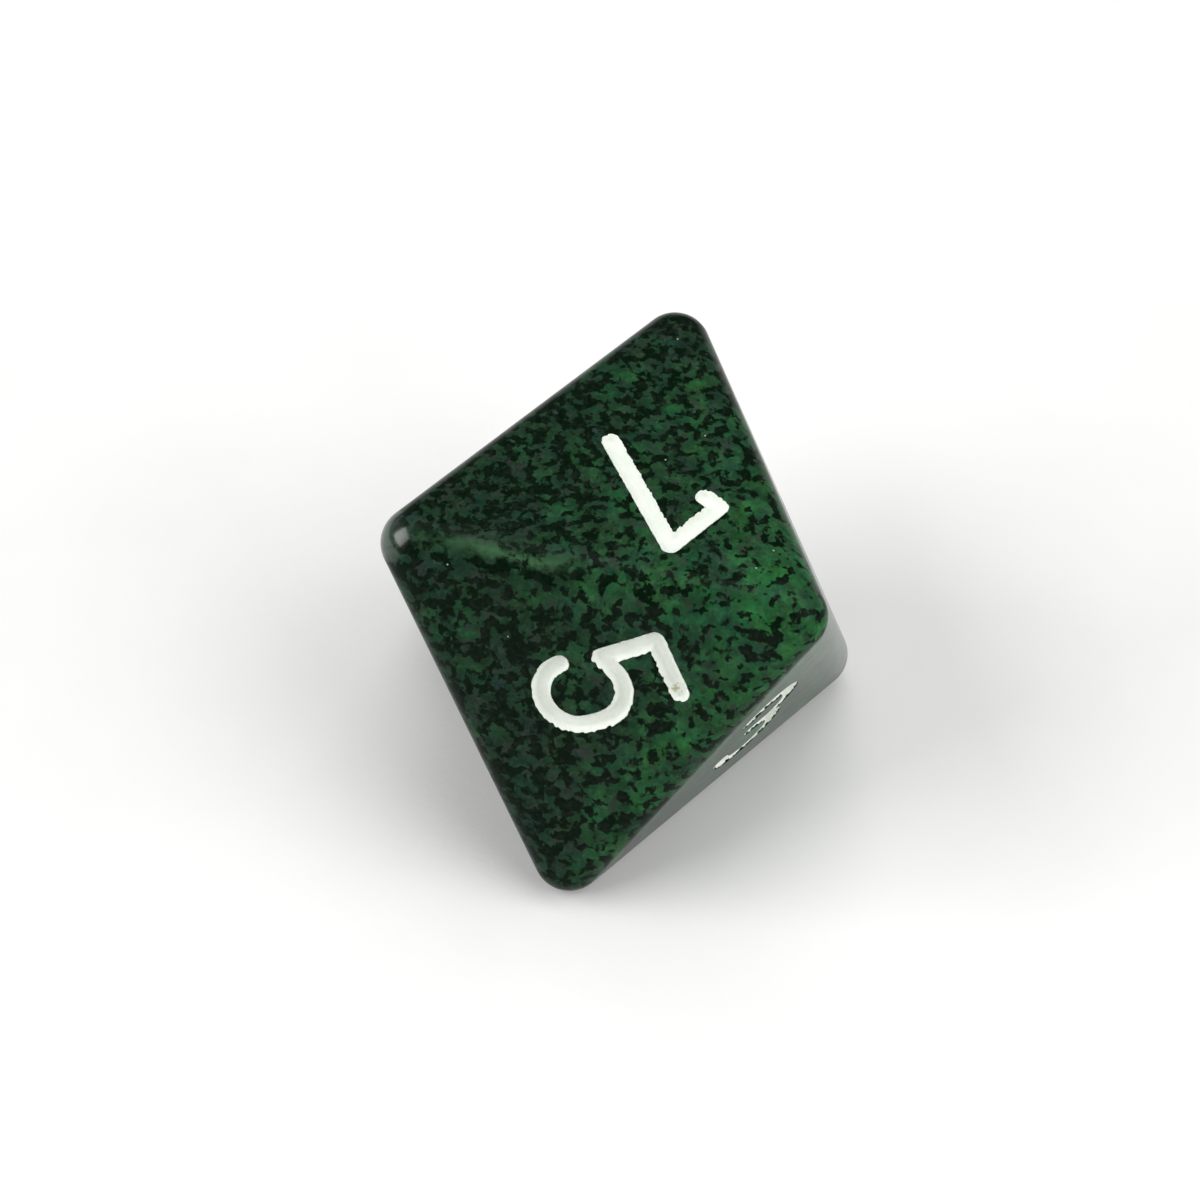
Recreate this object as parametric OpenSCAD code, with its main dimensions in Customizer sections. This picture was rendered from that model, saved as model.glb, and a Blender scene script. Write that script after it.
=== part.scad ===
// Eight-sided numbered die
//
// A regular octahedron of speckled plastic with rounded edges and corners. The numbers 1 to 8
// are sunk into the faces as grooves of one width and lined with white paint. It lies on the
// face of the 2, so the 7 is on top and the 5 faces the front.
//
// Frame: millimetres, +Z up, -Y to the front, origin at the centre of the face it lies on.

/* [Body] */

// Distance between two opposite faces
face_to_face = 15;      // [14:0.5:30]
// Radius of the rounded edges and corners
edge_radius = 1.45;     // [0.6:0.05:2]

/* [Numbers] */

// Width of the groove that draws a number
stroke_width = 0.8;     // [0.5:0.05:1.1]
// Height of a number, from outside to outside
number_height = 6.16;   // [5.6:0.02:6.8]
// Width of a round number, from outside to outside
number_width = 3.6;     // [2.4:0.1:4.4]
// Distance of a number's middle from the centre of its face, towards the corner that it points to
number_lift = 0.92;     // [0:0.02:1.5]
// Depth of the groove below the face
groove_depth = 0.4;     // [0.3:0.05:0.8]
// Depth from the face down to the top of the paint
paint_below = 0.1;      // [0.05:0.05:0.2]

/* [Smoothness] */

// Segments of a full circle
segments = 96;          // [48:8:144]

/* [Hidden] */

$fn = segments;

// Colours
green = [0.13, 0.33, 0.19];
white = [0.95, 0.95, 0.92];

// Octahedron
inradius = face_to_face / 2;                      // centre to face
core_axis = (inradius - edge_radius) * sqrt(3);   // centre to the centre of a rounded corner
core_edge = core_axis * sqrt(2);                  // length of the straight part of an edge
tilt = atan(1 / sqrt(2));                         // lays a face level
lap = 0.01;                                       // each rounding stands this proud, then is trimmed

// Each face: the signs of its outward normal along the body's three axes. A number's top
// points to the corner on the third axis that its face touches.
FACES = [
    [ 1,  1,  1],   // 1
    [ 1, -1, -1],   // 2
    [ 1, -1,  1],   // 3
    [ 1,  1, -1],   // 4
    [-1, -1,  1],   // 5
    [-1,  1, -1],   // 6
    [-1,  1,  1],   // 7
    [-1, -1, -1]    // 8
];

// Number strokes: half sizes of the line down the middle of the groove
half_w = stroke_width / 2;
top = number_height / 2 - half_w;
side = number_width / 2 - half_w;
round_r = side + 0.02;

function unit(v) = v / norm(v);
function turn(v) = [-v[1], v[0]];

// Points on an arc about c from angle a to angle b
function arc(c, r, a, b, n = 12) =
    [for (i = [0:n]) let (t = a + (b - a) * i / n) c + r * [cos(t), sin(t)]];

// One side of a stroke of half width w along path p: k is 1 for the left side, -1 for the
// right. The inside of a bend is one point, and the outside of a sharp bend is rounded.
function bend(p, i, k, w) =
    let (
        d0 = unit(p[i] - p[i - 1]),
        d1 = unit(p[i + 1] - p[i]),
        n0 = k * turn(d0),
        n1 = k * turn(d1),
        inner = k * (d0[0] * d1[1] - d0[1] * d1[0]) > 0,
        angle = acos(max(-1, min(1, d0 * d1)))
    )
    inner || angle < 20
        ? [p[i] + w * (n0 + n1) / (1 + n0 * n1)]
        : let (a0 = atan2(n0[1], n0[0]), m = ceil(angle / 15))
            [for (j = [0:m]) let (t = a0 - k * angle * j / m) p[i] + w * [cos(t), sin(t)]];

function flank(p, k, w) =
    [for (i = [1:len(p) - 2]) each bend(p, i, k, w)];

// Half circle around the end of a stroke at point c, coming in direction d
function cap(c, d, w) =
    let (a0 = atan2(d[1], d[0]) - 90)
    [for (j = [0:12]) let (t = a0 + 15 * j) c + w * [cos(t), sin(t)]];

function reverse(v) = [for (i = [len(v) - 1:-1:0]) v[i]];

// Groove outline along an open path
module stroke(p) {
    last = len(p) - 1;
    polygon(concat(
        flank(p, -1, half_w),
        cap(p[last], unit(p[last] - p[last - 1]), half_w),
        reverse(flank(p, 1, half_w)),
        cap(p[0], unit(p[0] - p[1]), half_w)
    ));
}

// Closed ring of groove, joined to whatever meets it
module loop(c, r) {
    difference() {
        union() {
            translate(c)
                circle(r + half_w);
            children();
        }
        translate(c)
            circle(r - half_w);
    }
}

module shape_1() {
    stroke([[-0.72, top - 0.85], [0.28, top], [0.28, -top]]);
}

module shape_2() {
    c = [0, top - side];
    stroke(concat(
        arc(c, side, 165, -30, 20),
        [[-side + 0.05, -top], [side, -top]]
    ));
}

module shape_3() {
    r1 = 1.26;
    r2 = 1.42;
    stroke(concat(
        arc([0, top - r1], r1, 160, -90, 24),
        [[-0.35, top - 2 * r1]]
    ));
    stroke(concat(
        [[-0.3, 2 * r2 - top - 0.06]],
        arc([0, r2 - top], r2, 80, -160, 24)
    ));
}

module shape_4() {
    stroke([[0.3, top], [-side - 0.1, -0.95], [side + 0.1, -0.95]]);
    stroke([[0.72, 0.35], [0.72, -top]]);
}

module shape_5() {
    stroke(concat(
        [[1.22, top], [-1.2, top], [-1.17, 0.32]],
        arc([0, side - top + 0.56], side, 106, 0, 10),
        arc([0, side - top], side, 0, -176, 18)
    ));
}

module shape_6() {
    loop([0, round_r - top], round_r)
        stroke(arc([2.22, -0.76], 3.6, 107, 190, 14));
}

module shape_7() {
    stroke([[-1.25, top - 0.72], [-1.25, top], [1.55, top], [-0.84, -top]]);
}

module shape_8() {
    r = 1.27;
    loop([0, top - r], r)
        loop([0, round_r - top], round_r);
}

module shape(n) {
    translate([0, number_lift]) {
        if (n == 1) shape_1();
        if (n == 2) shape_2();
        if (n == 3) shape_3();
        if (n == 4) shape_4();
        if (n == 5) shape_5();
        if (n == 6) shape_6();
        if (n == 7) shape_7();
        if (n == 8) shape_8();
    }
}

// Stands the body on the face of the 2, with the 5 to the front
module at_rest() {
    translate([0, 0, inradius])
        rotate([tilt, 0, 0])
            rotate([0, 45, 0])
                children();
}

// Places a drawing on face n: its Z axis is the face's outward normal, from the face's centre,
// and its Y axis points to the corner at the top of the number.
module on_face(n) {
    f = FACES[n - 1];
    z = unit(f);
    y = unit([0, 0, f[2]] - z * (z * [0, 0, f[2]]));
    x = cross(y, z);
    o = z * inradius;
    multmatrix([
        [x[0], y[0], z[0], o[0]],
        [x[1], y[1], z[1], o[1]],
        [x[2], y[2], z[2], o[2]]
    ])
        children();
}

// Everything between two opposite faces
module slab(n) {
    w = 4 * inradius;
    on_face(n)
        translate([-w / 2, -w / 2, -face_to_face])
            cube([w, w, face_to_face]);
}

// The eight flat faces, each cut back to where the rounding starts: the convex solid around
// four points at each corner
module core() {
    s = (edge_radius + lap / 2) / sqrt(3);
    a = core_axis + s;
    quad = [[s, s], [-s, s], [-s, -s], [s, -s]];
    points = concat(
        [for (q = quad) [a, q[0], q[1]]],
        [for (q = quad) [-a, q[0], q[1]]],
        [for (q = quad) [q[0], a, q[1]]],
        [for (q = quad) [q[0], -a, q[1]]],
        [for (q = quad) [q[0], q[1], a]],
        [for (q = quad) [q[0], q[1], -a]]
    );
    hull()
        polyhedron(points, [for (k = [0:5]) [4 * k, 4 * k + 1, 4 * k + 2, 4 * k + 3]]);
}

// Rounds the edge between the corners on the first two axes
module edge_rounding() {
    translate([core_axis, 0, 0])
        rotate([0, 0, 45])
            rotate([-90, 0, 0])
                cylinder(h = core_edge, r = edge_radius + lap);
}

// Rounds the corner on the first axis
module corner_rounding() {
    translate([core_axis, 0, 0])
        sphere(edge_radius + 2 * lap);
}

module rounded_octahedron() {
    intersection() {
        union() {
            core();
            for (t = [0, 90, -90], k = [0:3])
                rotate([0, 0, 90 * k])
                    rotate([t, 0, 0])
                        edge_rounding();
            for (k = [0:3])
                rotate([0, 0, 90 * k])
                    corner_rounding();
            for (t = [90, -90])
                rotate([0, t, 0])
                    corner_rounding();
        }
        slab(1);
        slab(3);
        slab(5);
        slab(7);
    }
}

// The groove of number n, from the face down to its flat floor
module groove(n) {
    on_face(n)
        translate([0, 0, -groove_depth])
            linear_extrude(2 * groove_depth)
                shape(n);
}

// The paint in the groove of number n
module paint(n) {
    color(white)
        at_rest()
            on_face(n)
                translate([0, 0, -groove_depth])
                    linear_extrude(groove_depth - paint_below)
                        shape(n);
}

module die_body() {
    color(green)
        at_rest()
            difference() {
                rounded_octahedron();
                for (n = [1:8])
                    groove(n);
            }
}

module numeral_1() { paint(1); }

module numeral_2() { paint(2); }

module numeral_3() { paint(3); }

module numeral_4() { paint(4); }

module numeral_5() { paint(5); }

module numeral_6() { paint(6); }

module numeral_7() { paint(7); }

module numeral_8() { paint(8); }

die_body();
numeral_1();
numeral_2();
numeral_3();
numeral_4();
numeral_5();
numeral_6();
numeral_7();
numeral_8();
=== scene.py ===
"""Looks of an eight-sided die: speckled green plastic with rounded edges and white painted numbers.

The die lies on the face of the 2. Shapes are worked out in millimetres in the die's own axes,
which run from its centre to three of its corners, and are turned into the frame at the end.
"""

import math

import bpy
import numpy as np
from mathutils import Matrix, Vector, geometry


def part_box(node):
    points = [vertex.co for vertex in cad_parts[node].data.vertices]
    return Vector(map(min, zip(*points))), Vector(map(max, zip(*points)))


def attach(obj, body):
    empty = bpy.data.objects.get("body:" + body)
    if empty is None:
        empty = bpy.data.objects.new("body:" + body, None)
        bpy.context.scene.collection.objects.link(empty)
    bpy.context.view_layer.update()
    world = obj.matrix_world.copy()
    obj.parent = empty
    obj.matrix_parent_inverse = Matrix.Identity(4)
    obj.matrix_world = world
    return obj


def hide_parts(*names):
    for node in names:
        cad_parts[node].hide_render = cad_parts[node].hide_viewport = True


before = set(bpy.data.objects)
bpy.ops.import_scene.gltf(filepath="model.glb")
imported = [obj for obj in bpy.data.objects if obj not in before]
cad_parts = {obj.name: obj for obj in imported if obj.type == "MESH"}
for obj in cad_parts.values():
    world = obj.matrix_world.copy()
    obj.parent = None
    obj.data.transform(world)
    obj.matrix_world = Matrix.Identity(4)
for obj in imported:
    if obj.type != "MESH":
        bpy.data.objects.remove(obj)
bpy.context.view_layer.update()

MM = 0.001

# ---------------------------------------------------------------- sizes, in millimetres

low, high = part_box("die_body")
INRADIUS = (high.z - low.z) / MM / 2            # centre to face
MIDDLE = np.array([0, 0, (high.z + low.z) / MM / 2])
EDGE_RADIUS = 1.45                              # rounding of edges and corners
CORNER = (INRADIUS - EDGE_RADIUS) * math.sqrt(3)    # centre to the middle of a rounded corner
HALF_BEND = math.atan(math.sqrt(0.5))           # half the turn from one face to the next
ALONG = 36                                      # steps along an edge
AROUND = 16                                     # steps around an edge

# The die's axes in the frame, as it lies on the face of the 2: one column each
AXES = np.array([
    [1 / math.sqrt(2), 0, 1 / math.sqrt(2)],
    [1 / math.sqrt(6), 2 / math.sqrt(6), -1 / math.sqrt(6)],
    [-1 / math.sqrt(3), 1 / math.sqrt(3), 1 / math.sqrt(3)],
])

# Number on a face: signs of the face's outward normal along the die's axes
FACES = {
    1: (1, 1, 1),
    2: (1, -1, -1),
    3: (1, -1, 1),
    4: (1, 1, -1),
    5: (-1, -1, 1),
    6: (-1, 1, -1),
    7: (-1, 1, 1),
    8: (-1, -1, -1),
}

# Numbers: the line down the middle of the groove
HALF_WIDTH = 0.4
TOP = 3.08 - HALF_WIDTH
SIDE = 1.8 - HALF_WIDTH
LIFT = 0.92                                     # number's middle above the face's centre
ROUND = SIDE + 0.02                             # radius of the round part of the 6 and the 8
HALF_WIDEST = SIDE + 0.25                       # half the widest number

# Groove: distance from its middle line, and depth there. Of the outlines that the mesh follows,
# the first lies on the flat, outside the groove, so that the face stays level up to the groove.
GROOVE_AT = [0, 0.265, 0.3, 0.398, 0.412, 0.43]
GROOVE_Z = [-0.36, -0.36, -0.29, -0.04, -0.012, 0]
GROOVE_RINGS = [0.475, 0.432, 0.42, 0.41, 0.398, 0.36, 0.31, 0.265]
# Paint: its upper surface lines the groove, and thins out to an edge near the rim
LINING_AT = [0, 0.17, 0.225, 0.262, 0.37, 0.4]
LINING_Z = [-0.335, -0.332, -0.312, -0.27, -0.02, 0]
PAINT_EDGE = 0.386                              # the edge's distance from the middle line
PAINT_TAPER = 0.022                             # width over which the paint thins out to it
PAINT_RINGS = [0.375, 0.35, 0.31, 0.262, 0.225, 0.17, 0.08]
UNDER_PAINT = 0.02                              # depth of the paint's hidden side in the plastic
REACH = 0.6                                     # room around a middle line for its outlines
GRID = 0.04                                     # cells that outlines are traced in
SPACING = 0.06                                  # distance between points on an outline
FLAT_SPACING = 0.55                             # distance between points on the flat of a face
FLAT_MARGIN = 0.25                              # least distance of those points from its sides
FLAT_GAP = 0.15                                 # and from the rim of the groove
UNEVEN = 0.006                                  # unevenness of the groove's outline
UNEVEN_PAINT = 0.010                            # further unevenness of the paint's edge

# Where the paint of the 5 is stained: on the face, and its depth below it
STAIN = [1.08, 3.42, -0.33]


# ---------------------------------------------------------------- numbers

def arc(middle, radius, start, end, steps):
    """Points on an arc, in degrees."""
    angles = np.radians(np.linspace(start, end, steps + 1))
    points = np.stack([np.cos(angles), np.sin(angles)], 1)
    return (np.array(middle) + radius * points).tolist()


def number_lines(n):
    """The middle lines of a number's strokes, before it is lifted."""
    if n == 1:
        return [[[-0.72, TOP - 0.85], [0.28, TOP], [0.28, -TOP]]]
    if n == 2:
        return [arc([0, TOP - SIDE], SIDE, 165, -30, 20) + [[0.05 - SIDE, -TOP], [SIDE, -TOP]]]
    if n == 3:
        upper, lower = 1.26, 1.42
        return [
            arc([0, TOP - upper], upper, 160, -90, 24) + [[-0.35, TOP - 2 * upper]],
            [[-0.3, 2 * lower - TOP - 0.06]] + arc([0, lower - TOP], lower, 80, -160, 24),
        ]
    if n == 4:
        return [
            [[0.3, TOP], [-SIDE - 0.1, -0.95], [SIDE + 0.1, -0.95]],
            [[0.72, 0.35], [0.72, -TOP]],
        ]
    if n == 5:
        return [
            [[1.22, TOP], [-1.2, TOP], [-1.17, 0.32]]
            + arc([0, SIDE - TOP + 0.56], SIDE, 106, 0, 10)
            + arc([0, SIDE - TOP], SIDE, 0, -176, 18)
        ]
    if n == 6:
        return [
            arc([0, ROUND - TOP], ROUND, 0, 360, 36),
            arc([2.22, -0.76], 3.6, 107, 190, 14),
        ]
    if n == 7:
        return [[[-1.25, TOP - 0.72], [-1.25, TOP], [1.55, TOP], [-0.84, -TOP]]]
    return [
        arc([0, TOP - 1.27], 1.27, 0, 360, 36),
        arc([0, ROUND - TOP], ROUND, 0, 360, 36),
    ]


def wobble(points, seed, size, shortest, longest, waves=24):
    """A smooth random value at each point, about size high, with bumps between the two lengths."""
    rng = np.random.default_rng(seed)
    total = np.zeros(len(points))
    for _ in range(waves):
        length = rng.uniform(shortest, longest)
        turn = rng.uniform(0, 2 * math.pi)
        phase = rng.uniform(0, 2 * math.pi)
        way = np.array([math.cos(turn), math.sin(turn)]) * 2 * math.pi / length
        total += np.sin(points @ way + phase)
    return total * size * math.sqrt(2 / waves)


def from_line(points, n):
    """Distance of each point of a face from the middle line of its number, slightly uneven."""
    nearest = np.full(len(points), np.inf)
    for line in number_lines(n):
        line = np.array(line) + [0, LIFT]
        for a, b in zip(line[:-1], line[1:]):
            along = b - a
            t = np.clip((points - a) @ along / (along @ along), 0, 1)
            gap = np.linalg.norm(points - a - t[:, None] * along, axis=1)
            nearest = np.minimum(nearest, gap)
    return nearest + wobble(points, n, UNEVEN, 0.2, 0.7)


def from_paint_edge(points, n):
    """As from_line, with the unevenness of the paint's own edge."""
    return from_line(points, n) + wobble(points, 100 + n, UNEVEN_PAINT, 0.12, 0.5)


def survey(distance, n):
    """distance(points, n) on a grid over a number, with the grid's first corner."""
    xs = np.arange(-HALF_WIDEST - REACH, HALF_WIDEST + REACH, GRID)
    ys = np.arange(LIFT - TOP - REACH, LIFT + TOP + REACH, GRID)
    grid = np.stack(np.meshgrid(xs, ys, indexing="ij"), -1).reshape(-1, 2)
    return distance(grid, n).reshape(len(xs), len(ys)), np.array([xs[0], ys[0]])


def outlines(field, start, level):
    """Closed outlines where a surveyed field is level, with evenly spaced points."""
    inside = field < level
    points, links = {}, {}

    def crossing(a, b):
        key = (min(a, b), max(a, b))
        t = (level - field[key[0]]) / (field[key[1]] - field[key[0]])
        points[key] = np.array(key[0]) * (1 - t) + np.array(key[1]) * t
        return key

    count = inside[:-1, :-1] + 0 + inside[1:, :-1] + inside[:-1, 1:] + inside[1:, 1:]
    for i, j in np.argwhere((count > 0) & (count < 4)).tolist():
        ring = [(i, j), (i + 1, j), (i + 1, j + 1), (i, j + 1)]
        cuts = [
            crossing(ring[k], ring[(k + 1) % 4])
            for k in range(4)
            if inside[ring[k]] != inside[ring[(k + 1) % 4]]
        ]
        if len(cuts) == 4 and (np.mean([field[c] for c in ring]) < level) != inside[ring[0]]:
            cuts = cuts[3:] + cuts[:3]
        for a, b in zip(cuts[::2], cuts[1::2]):
            links.setdefault(a, []).append(b)
            links.setdefault(b, []).append(a)

    loops = []
    while links:
        loop, here = [], next(iter(links))
        while here in links:
            loop.append(points[here])
            ways = links.pop(here)
            here = ways[0] if ways[0] in links else ways[1]
        loops.append(even(np.array(loop) * GRID + start))
    return loops


def even(loop):
    """The same closed outline with evenly spaced points."""
    closed = np.vstack([loop, loop[:1]])
    length = np.concatenate([[0], np.cumsum(np.linalg.norm(np.diff(closed, axis=0), axis=1))])
    count = max(8, round(length[-1] / SPACING))
    at = np.linspace(0, length[-1], count, endpoint=False)
    return np.stack([np.interp(at, length, closed[:, k]) for k in range(2)], 1)


def groove_height(points, n):
    return np.interp(from_line(points, n), GROOVE_AT, GROOVE_Z)


def paint_height(points, n):
    """Upper surface of the paint: the groove's own at the paint's edge, and the lining further in."""
    ground = groove_height(points, n)
    lining = np.interp(from_line(points, n), LINING_AT, LINING_Z)
    share = np.clip((PAINT_EDGE - from_paint_edge(points, n)) / PAINT_TAPER, 0, 1)
    return ground + np.sqrt(share) * (lining - ground)


# ---------------------------------------------------------------- mesh work

def face_axes(n):
    """Axes of a face in the die's axes: x, y towards the corner above the number, and outward."""
    signs = np.array(FACES[n], float)
    z = signs / math.sqrt(3)
    up = np.array([0, 0, signs[2]])
    y = up - z * (z @ up)
    y /= np.linalg.norm(y)
    return np.stack([np.cross(y, z), y, z])


def triangles(points, edges):
    """Triangles between the points that keep the edges: (points, triangles, first input of each)."""
    found = geometry.delaunay_2d_cdt([Vector(p) for p in points], edges, [], 1, 1e-6)
    xy = np.array([tuple(v) for v in found[0]])
    faces = np.array([tuple(f) for f in found[2]])
    a, b, c = xy[faces[:, 0]], xy[faces[:, 1]], xy[faces[:, 2]]
    ab, ac = b - a, c - a
    wrong = ab[:, 0] * ac[:, 1] < ab[:, 1] * ac[:, 0]
    faces[wrong] = faces[wrong][:, ::-1]
    first = [min(v) if v else -1 for v in found[3]]
    return xy, faces, first


def within(points, loops):
    """Whether each point is inside the closed outlines and outside their holes."""
    x, y = points.T
    odd = np.zeros(len(points), bool)
    for loop in loops:
        for (ax, ay), (bx, by) in zip(loop, np.roll(loop, -1, 0)):
            if ay != by:
                crossed = (ay > y) != (by > y)
                odd ^= crossed & (x < ax + (y - ay) * (bx - ax) / (by - ay))
    return odd


def add_loops(points, edges, loops):
    """Adds closed outlines to a drawing."""
    for loop in loops:
        start = len(points)
        points.extend(loop.tolist())
        edges.extend((start + k, start + (k + 1) % len(loop)) for k in range(len(loop)))


class Surface:
    """Vertices in the die's axes, welded where they meet, with their normals (0 for automatic)."""

    def __init__(self):
        self.index = {}
        self.points = []
        self.normals = []
        self.faces = []

    def add(self, point, normal):
        key = tuple(round(float(c), 6) + 0.0 for c in point)
        if key not in self.index:
            self.index[key] = len(self.points)
            self.points.append(point)
            self.normals.append(normal)
        return self.index[key]

    def patch(self, point_at, rows, columns):
        """A grid of quads. point_at(row, column) gives a point and its outward normal."""
        grid = [
            [self.add(*point_at(i, j)) for j in range(columns + 1)]
            for i in range(rows + 1)
        ]
        for i in range(rows):
            for j in range(columns):
                quad = [grid[i][j], grid[i + 1][j], grid[i + 1][j + 1], grid[i][j + 1]]
                a, b, c = (np.array(self.points[q]) for q in quad[:3])
                if np.cross(b - a, c - b) @ self.normals[quad[0]] < 0:
                    quad.reverse()
                self.faces.append(quad)


def spread(k, steps):
    """Angle of step k around an edge."""
    return HALF_BEND * (2 * k / steps - 1)


def add_edge(surface, from_corner, to_corner, across):
    """The rounded edge between two corners."""
    out = (from_corner + to_corner) / math.sqrt(2)

    def point_at(i, j):
        t = i / ALONG
        angle = spread(j, AROUND)
        normal = out * math.cos(angle) + across * math.sin(angle)
        core = CORNER * ((1 - t) * from_corner + t * to_corner)
        return core + EDGE_RADIUS * normal, normal

    surface.patch(point_at, ALONG, AROUND)


def add_corner(surface, corner, across, over):
    """The rounded corner, between four edges."""

    def point_at(i, j):
        slopes = [math.sqrt(2) * math.tan(spread(k, AROUND)) for k in (i, j)]
        normal = corner + slopes[0] * across + slopes[1] * over
        normal = normal / np.linalg.norm(normal)
        return CORNER * corner + EDGE_RADIUS * normal, normal

    surface.patch(point_at, AROUND, AROUND)


def face_sides(n):
    """Points around the flat of a face, in the die's axes."""
    corners = [s * row for s, row in zip(FACES[n], np.eye(3))]
    normal = face_axes(n)[2]
    return [
        CORNER * ((1 - k / ALONG) * corners[i] + k / ALONG * corners[(i + 1) % 3])
        + EDGE_RADIUS * normal
        for i in range(3)
        for k in range(ALONG)
    ]


def flat_points(n, sides):
    """Points on the flat of a face, clear of its sides and of its number."""
    low_x, low_y = sides.min(0)
    high_x, high_y = sides.max(0)
    step_y = FLAT_SPACING * math.sqrt(0.75)
    grid = np.array([
        [x + FLAT_SPACING / 2 * (row % 2), y]
        for row, y in enumerate(np.arange(low_y, high_y, step_y))
        for x in np.arange(low_x, high_x, FLAT_SPACING)
    ])
    flat_radius = -low_y
    # Directions from the face's centre to the middles of its three sides
    ways = [np.array([math.cos(a), math.sin(a)]) for a in np.radians([30, 150, 270])]
    room = np.min([flat_radius - grid @ way for way in ways], 0)
    return grid[(room > FLAT_MARGIN) & (from_line(grid, n) > GROOVE_AT[-1] + FLAT_GAP)]


def add_face(surface, n):
    """The flat of a face with the groove of its number."""
    axes = face_axes(n)
    border = np.array(face_sides(n))
    sides = border @ axes.T[:, :2]
    points, edges = [], []
    add_loops(points, edges, [sides])
    field, start = survey(from_line, n)
    for level in GROOVE_RINGS:
        add_loops(points, edges, outlines(field, start, level))
    points.extend(flat_points(n, sides).tolist())
    xy, faces, first = triangles(points, edges)
    depth = groove_height(xy, n)
    places = np.column_stack([xy, INRADIUS + depth]) @ axes
    index = []
    for k, place in enumerate(places):
        if 0 <= first[k] < len(border):
            place = border[first[k]]
        normal = axes[2] if depth[k] > -1e-5 else np.zeros(3)
        index.append(surface.add(place, normal))
    surface.faces.extend([[index[v] for v in f] for f in faces])


def add_paint(surface, n):
    """The skin of paint in a groove, closed on its hidden side."""
    axes = face_axes(n)
    points, edges = [], []
    edge_loops = outlines(*survey(from_paint_edge, n), PAINT_EDGE)
    add_loops(points, edges, edge_loops)
    field, corner = survey(from_line, n)
    for level in PAINT_RINGS:
        add_loops(points, edges, outlines(field, corner, level))
    xy, faces, _ = triangles(points, edges)
    faces = faces[within(xy[faces].mean(1), edge_loops)]
    pairs = np.sort(np.vstack([faces[:, [0, 1]], faces[:, [1, 2]], faces[:, [2, 0]]]), 1)
    kept, uses = np.unique(pairs, axis=0, return_counts=True)
    rim = kept[uses == 1].ravel()
    faces = faces[~np.isin(faces, rim).all(1)]
    rim = set(rim.tolist())
    upper = np.column_stack([xy, INRADIUS + paint_height(xy, n)]) @ axes
    lower = np.column_stack([xy, INRADIUS + groove_height(xy, n) - UNDER_PAINT]) @ axes
    zero = np.zeros(3)
    start = len(surface.points)
    surface.points.extend(upper)
    surface.normals.extend([zero] * len(upper))
    under = {}
    for k in sorted(set(faces.ravel().tolist()) - rim):
        under[k] = len(surface.points)
        surface.points.append(lower[k])
        surface.normals.append(zero)
    surface.faces.extend([[start + v for v in f] for f in faces.tolist()])
    surface.faces.extend([
        [under.get(v, start + v) for v in reversed(f)]
        for f in faces.tolist()
    ])


def make_object(name, surface, material):
    """A smooth object in the frame, in metres."""
    places = (np.array(surface.points) @ AXES.T + MIDDLE) * MM
    used = sorted({v for f in surface.faces for v in f})
    renumber = {v: k for k, v in enumerate(used)}
    mesh = bpy.data.meshes.new(name)
    mesh.from_pydata(places[used].tolist(), [], [[renumber[v] for v in f] for f in surface.faces])
    mesh.validate()
    mesh.polygons.foreach_set("use_smooth", [True] * len(mesh.polygons))
    normals = np.array(surface.normals)[used] @ AXES.T
    if np.any(normals):
        mesh.normals_split_custom_set_from_vertices(normals.tolist())
    mesh.materials.append(material)
    piece = bpy.data.objects.new(name, mesh)
    bpy.context.scene.collection.objects.link(piece)
    return piece


def make_body(material):
    surface = Surface()
    for n in FACES:
        add_face(surface, n)
    axes = np.eye(3)
    for i, j, k in ((0, 1, 2), (1, 2, 0), (2, 0, 1)):
        for a in (1, -1):
            add_corner(surface, a * axes[i], axes[j], axes[k])
            for b in (1, -1):
                add_edge(surface, a * axes[i], b * axes[j], axes[k])
    return make_object("speckled_body", surface, material)


def make_number(n, material):
    surface = Surface()
    add_paint(surface, n)
    return make_object(f"painted_{n}", surface, material)


# ---------------------------------------------------------------- materials

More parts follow.
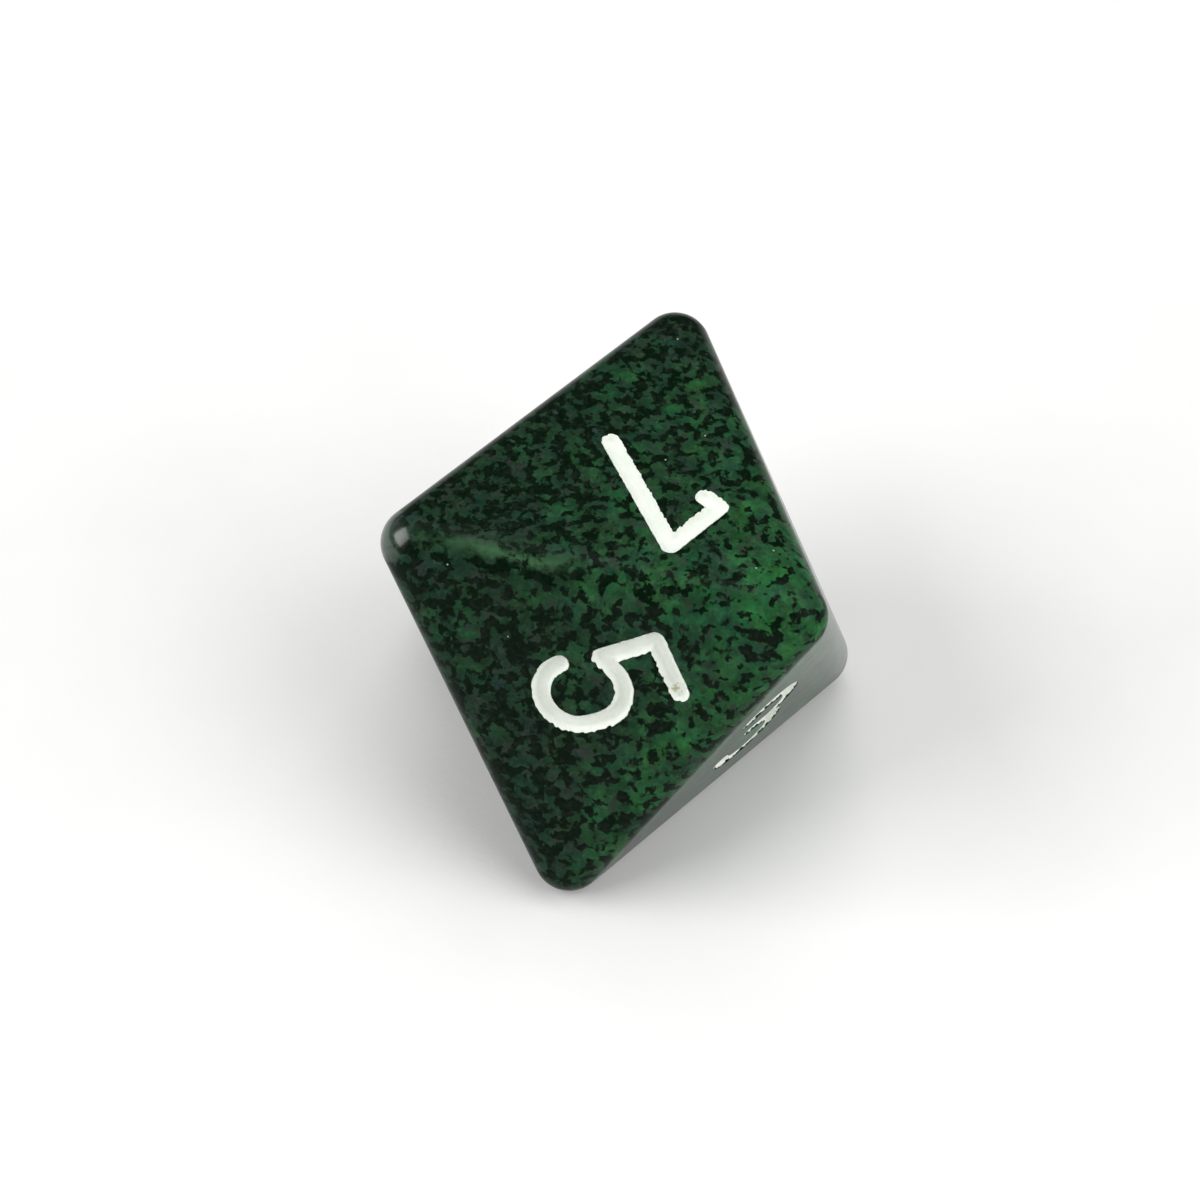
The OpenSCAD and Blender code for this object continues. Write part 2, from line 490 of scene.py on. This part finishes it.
class Nodes:
    """Short calls for building a material's nodes."""

    def __init__(self, name):
        self.material = bpy.data.materials.new(name)
        self.material.use_nodes = True
        self.tree = self.material.node_tree
        self.shader = self.tree.nodes["Principled BSDF"]

    def set(self, node, **inputs):
        for name, value in inputs.items():
            socket = node.inputs[name.replace("_", " ")]
            if isinstance(value, bpy.types.NodeSocket):
                self.tree.links.new(value, socket)
            else:
                socket.default_value = value
        return node

    def add(self, kind, **settings):
        node = self.tree.nodes.new("ShaderNode" + kind)
        for name, value in settings.items():
            setattr(node, name, value)
        return node

    def place(self):
        """Where a point is on the object, in millimetres."""
        coordinates = self.add("TexCoord").outputs["Object"]
        return self.vector("SCALE", coordinates, Scale=1 / MM)

    def vector(self, operation, *values, **inputs):
        node = self.set(self.add("VectorMath", operation=operation), **inputs)
        for socket, value in zip(node.inputs, values):
            self.connect(socket, value)
        return node.outputs["Value" if operation in ("DOT_PRODUCT", "DISTANCE") else "Vector"]

    def connect(self, socket, value):
        if isinstance(value, bpy.types.NodeSocket):
            self.tree.links.new(value, socket)
        else:
            socket.default_value = value

    def math(self, operation, *values, clamp=False):
        node = self.add("Math", operation=operation, use_clamp=clamp)
        for socket, value in zip(node.inputs, values):
            self.connect(socket, value)
        return node.outputs[0]

    def scaled_sum(self, base, *parts):
        """base plus each value times its weight."""
        total = base
        for value, weight in parts:
            total = self.math("MULTIPLY_ADD", value, weight, total)
        return total

    def noise(self, place, scale, detail=2.0, roughness=0.5, output="Fac"):
        """Smooth noise: scale is in bumps to a millimetre."""
        node = self.add("TexNoise")
        self.set(node, Vector=place, Scale=scale, Detail=detail, Roughness=roughness)
        return node.outputs[output]

    def cells(self, place, scale):
        """Irregular cells: scale is in cells to a millimetre."""
        return self.set(self.add("TexVoronoi"), Vector=place, Scale=scale)

    def split(self, colour):
        """The red, green and blue of a colour."""
        node = self.add("SeparateColor")
        self.tree.links.new(colour, node.inputs[0])
        return node.outputs

    def ramp(self, value, *stops):
        """Colour or grey by value: stops are (position, colour)."""
        node = self.add("ValToRGB")
        self.tree.links.new(value, node.inputs["Fac"])
        elements = node.color_ramp.elements
        while len(elements) < len(stops):
            elements.new(0.5)
        for element, (position, colour) in zip(elements, stops):
            element.position = position
            element.color = (*colour, 1) if isinstance(colour, tuple) else (colour,) * 3 + (1,)
        return node.outputs["Color"]

    def mix(self, factor, first, second, blend="MIX"):
        node = self.add("Mix", data_type="RGBA", blend_type=blend)
        self.connect(node.inputs["Factor"], factor)
        self.connect(node.inputs[6], first if not isinstance(first, tuple) else (*first, 1))
        self.connect(node.inputs[7], second if not isinstance(second, tuple) else (*second, 1))
        return node.outputs[2]

    def bump(self, height, distance):
        node = self.add("Bump")
        self.set(node, Height=height, Distance=distance, Strength=1.0)
        return node.outputs["Normal"]


def bend(m, place):
    """The place, bent by a fine noise, so that the grains are irregular."""
    stir = m.noise(place, 2.6, 1, output="Color")
    stir = m.vector("SUBTRACT", stir, (0.5, 0.5, 0.5))
    return m.vector("MULTIPLY_ADD", stir, (0.25, 0.25, 0.25), place)


def greenness(m, place, x, z):
    """From 0 for dull to 1 for bright green, which grows towards the corner of the 1, 3, 5 and 7."""
    along = m.scaled_sum(0.0, (z, 1.0), (x, 0.4))
    drift = m.noise(place, 0.30)
    patches = m.noise(place, 0.85, 1)
    green = m.scaled_sum(-1.40, (along, 0.075), (drift, 1.6), (patches, 1.3))
    return m.math("ADD", green, 0.0, clamp=True)


def black_grains(m, fine):
    return m.ramp(
        fine[1],
        (0.0, (0.0016, 0.0072, 0.0026)),
        (0.6, (0.0030, 0.0100, 0.0044)),
        (1.0, (0.0090, 0.0140, 0.0100)),
    )


def green_grains(m, place, bent, green, grains, fine):
    """Grains from dull to bright green, and a few grey ones."""
    muted = m.ramp(
        m.scaled_sum(0.0, (fine[2], 0.6), (grains[1], 0.4)),
        (0.0, (0.0080, 0.0230, 0.0125)),
        (0.5, (0.0125, 0.0370, 0.0195)),
        (0.8, (0.0180, 0.0420, 0.0250)),
        (1.0, (0.0300, 0.0540, 0.0380)),
    )
    hues = m.noise(bent, 1.5, 2, 0.6)
    vivid = m.ramp(
        m.scaled_sum(-0.50, (fine[2], 0.25), (grains[1], 0.35), (hues, 1.4)),
        (0.0, (0.0120, 0.0480, 0.0210)),
        (0.35, (0.0180, 0.0780, 0.0290)),
        (0.65, (0.0220, 0.1150, 0.0370)),
        (0.85, (0.0300, 0.1500, 0.0460)),
        (1.0, (0.0520, 0.0980, 0.0600)),
    )
    tone = m.mix(green, muted, vivid)
    # The green leans to blue here and to yellow there
    lean = m.noise(place, 0.8, 2, 0.6, output="Color")
    lean = m.mix(0.5, (1.0, 1.0, 1.0), m.mix(1.0, lean, (2.0, 2.0, 2.0), "MULTIPLY"))
    tone = m.mix(1.0, tone, lean, "MULTIPLY")
    clusters = m.noise(place, 1.4)
    greys = m.scaled_sum(-1.80, (grains[2], 0.8), (fine[1], 0.3), (clusters, 2.0))
    return m.mix(m.ramp(greys, (0.0, 0.0), (0.3, 0.7)), tone, (0.0330, 0.0345, 0.0330))


def add_painted_edge_reflection(m, place, x, y, z, pick, colour):
    """Painted reflection: a pale green, broken band along the edge between the 5 and the 7."""
    wave = m.noise(place, 0.45, 1)
    aside = m.math("ABSOLUTE", m.scaled_sum(-0.65, (y, 1.0), (wave, 1.2)))
    width = m.ramp(aside, (0.02, 1.0), (0.42, 0.0))
    # Strongest between the left corner and the middle of the edge, fading at both ends
    reach = m.ramp(
        m.math("MULTIPLY", z, 0.1),
        (0.0, 0.1),
        (0.14, 0.25),
        (0.32, 0.9),
        (0.45, 1.0),
        (0.60, 0.0),
    )
    outer = m.math("LESS_THAN", x, -2.0)
    breaks = m.noise(place, 3.2, 3, 0.6)
    spots = m.scaled_sum(-0.68, (pick, 1.1), (breaks, 2.6))
    spots = m.ramp(spots, (0.0, 0.0), (0.25, 0.6), (0.6, 0.9))
    # How much of the painted reflection's pale green replaces the plastic's colour
    share = m.math("MULTIPLY", m.math("MULTIPLY", width, reach), m.math("MULTIPLY", outer, spots))
    return m.mix(share, colour, (0.0520, 0.1280, 0.0600))


def add_flecks(m, place, colour):
    """A few stray white flecks."""
    cells = m.cells(place, 2.4)
    near = m.math("LESS_THAN", cells.outputs["Distance"], 0.085)
    rare = m.math("GREATER_THAN", m.split(cells.outputs["Color"])[2], 0.994)
    return m.mix(m.math("MULTIPLY", near, rare), colour, (0.36, 0.40, 0.36))


def speckled_plastic():
    m = Nodes("speckled_plastic")
    place = m.place()
    from_middle = m.vector("SUBTRACT", place, tuple(MIDDLE))
    x, y, z = (m.vector("DOT_PRODUCT", from_middle, tuple(axis)) for axis in AXES.T)
    bent = bend(m, place)
    grains = m.split(m.cells(bent, 3.2).outputs["Color"])
    fine = m.split(m.cells(bent, 6.5).outputs["Color"])
    blobs = m.noise(bent, 2.2, 2, 0.52)
    clumps = m.noise(place, 1.0)
    green = greenness(m, place, x, z)
    # How far a grain is on the green side of the black
    pick = m.scaled_sum(
        -2.37,
        (grains[0], 0.16),
        (fine[0], 0.14),
        (blobs, 3.4),
        (clumps, 1.2),
        (green, 0.30),
    )
    light = m.ramp(pick, (0.0, 0.0), (0.07, 0.2), (0.17, 0.8), (0.30, 1.0))
    tone = green_grains(m, place, bent, green, grains, fine)
    colour = m.mix(light, black_grains(m, fine), tone)
    # Painted reflection: a pale green band along the edge between the 5 and the 7
    colour = add_painted_edge_reflection(m, place, x, y, z, pick, colour)
    colour = add_flecks(m, place, colour)

    # Handling has polished the left corner
    polish = m.ramp(m.math("MULTIPLY", x, -0.08), (0.918, 0.0), (0.950, 1.0))
    smears = m.noise(place, 0.9, 4, 0.6)
    waves = m.noise(place, 0.35)
    pits = m.noise(place, 6.0, 3, 0.6)
    height = m.scaled_sum(0.0, (waves, 1.0), (pits, 0.02))
    m.set(
        m.shader,
        Base_Color=colour,
        Roughness=m.scaled_sum(0.08, (smears, 0.10), (fine[1], 0.03), (polish, 0.06)),
        Specular_IOR_Level=m.scaled_sum(0.036, (polish, 0.9)),
        IOR=1.5,
        Normal=m.bump(height, 0.02 * MM),
    )
    return m.material


def white_paint():
    m = Nodes("white_paint")
    place = m.place()
    tone = m.noise(place, 1.3, 4, 0.6)
    colour = m.ramp(tone, (0.3, (0.84, 0.885, 0.81)), (0.7, (0.92, 0.955, 0.885)))
    grain = m.noise(place, 9.0, 3, 0.6)
    colour = m.mix(m.ramp(grain, (0.3, 0.14), (0.5, 0.0)), colour, (0.50, 0.54, 0.48))
    # A dull yellow stain near the end of the 5's bar
    stain = (np.array(STAIN) + [0, 0, INRADIUS]) @ face_axes(5) @ AXES.T + MIDDLE
    off = m.vector("DISTANCE", place, tuple(stain))
    dirt = m.ramp(m.scaled_sum(-0.54, (off, 1.0), (grain, 1.0)), (0.0, 0.75), (0.14, 0.0))
    colour = m.mix(dirt, colour, (0.42, 0.40, 0.16))
    m.set(
        m.shader,
        Base_Color=colour,
        Roughness=m.scaled_sum(0.36, (tone, 0.3), (grain, 0.1)),
        Normal=m.bump(grain, 0.01 * MM),
    )
    return m.material


def floor_paper():
    m = Nodes("floor_paper")
    place = m.place()
    tone = m.noise(place, 0.12, 3)
    fibres = m.noise(place, 2.5, 4, 0.6)
    m.set(
        m.shader,
        Base_Color=m.ramp(tone, (0.3, (0.93, 0.93, 0.92)), (0.7, (0.96, 0.96, 0.95))),
        Roughness=m.scaled_sum(0.6, (fibres, 0.2)),
        Specular_IOR_Level=0.2,
        Normal=m.bump(fibres, 0.01 * MM),
    )
    return m.material


# ---------------------------------------------------------------- floor, lights and camera

# In metres
FLOOR_HALF = 0.6                                # half the floor's side
FLOOR_STEPS = 24                                # squares along a side
FLOOR_DROP = 0.02 * MM                          # below the die, so the two are not in one plane
LIGHT_DISTANCE = 0.6                            # from the die to each light


def make_floor():
    mesh = bpy.data.meshes.new("floor")
    line = np.linspace(-FLOOR_HALF, FLOOR_HALF, FLOOR_STEPS + 1)
    places = [(x, y, -FLOOR_DROP) for y in line for x in line]
    row = FLOOR_STEPS + 1
    faces = [
        (i * row + j, i * row + j + 1, (i + 1) * row + j + 1, (i + 1) * row + j)
        for i in range(FLOOR_STEPS)
        for j in range(FLOOR_STEPS)
    ]
    mesh.from_pydata(places, [], faces)
    mesh.materials.append(floor_paper())
    floor = bpy.data.objects.new("floor", mesh)
    bpy.context.scene.collection.objects.link(floor)


def direction(azimuth, elevation):
    """Unit vector from the die. Azimuth 0 is the front, and 90 the right."""
    a, e = math.radians(azimuth), math.radians(elevation)
    return Vector((math.sin(a) * math.cos(e), -math.cos(a) * math.cos(e), math.sin(e)))


def make_light(name, azimuth, elevation, size, power):
    """A square soft white light that faces the die."""
    light = bpy.data.lights.new(name, "AREA")
    light.size = size
    light.energy = power
    lamp = bpy.data.objects.new(name, light)
    away = direction(azimuth, elevation)
    turn = away.to_track_quat("Z", "Y")
    lamp.matrix_world = Matrix.LocRotScale(away * LIGHT_DISTANCE, turn, None)
    bpy.context.scene.collection.objects.link(lamp)


def make_world(strength):
    """An even white glow from everywhere."""
    world = bpy.data.worlds.new("studio")
    world.use_nodes = True
    background = world.node_tree.nodes["Background"]
    background.inputs["Color"].default_value = (1, 1, 1, 1)
    background.inputs["Strength"].default_value = strength
    bpy.context.scene.world = world


def make_camera():
    """Looks down at the 7 from the front, a little from the right."""
    azimuth, elevation, roll = 11.02, 49.26, 2.78
    distance, aside, above = 177.14, -0.906, 0.004
    back = direction(azimuth, elevation)
    right = Vector((math.cos(math.radians(azimuth)), math.sin(math.radians(azimuth)), 0))
    turned = Matrix.Rotation(math.radians(roll), 3, back) @ right
    up = back.cross(turned)
    place = Vector(MIDDLE) + back * distance + turned * aside + up * above
    camera = bpy.data.cameras.new("camera")
    camera.sensor_width = 36
    camera.lens = 131.75
    camera.clip_start = 0.01
    eye = bpy.data.objects.new("camera", camera)
    turn = Matrix((turned, up, back)).transposed()
    eye.matrix_world = Matrix.LocRotScale(place * MM, turn.to_quaternion(), None)
    bpy.context.scene.collection.objects.link(eye)
    bpy.context.scene.camera = eye


def make_studio():
    make_floor()
    make_world(strength=0.20)
    make_light("back", azimuth=180, elevation=72, size=0.4, power=1.0)
    make_light("left", azimuth=296, elevation=38, size=0.45, power=2.3)
    make_light("right", azimuth=82, elevation=43, size=0.6, power=2.35)
    bpy.context.scene.view_settings.view_transform = "Standard"


# ---------------------------------------------------------------- the die

make_camera()
body = make_body(speckled_plastic())
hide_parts("die_body")
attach(body, "root")
paint = white_paint()
for n in FACES:
    number = make_number(n, paint)
    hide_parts(f"numeral_{n}")
    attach(number, "root")
make_studio()

bpy.context.view_layer.update()
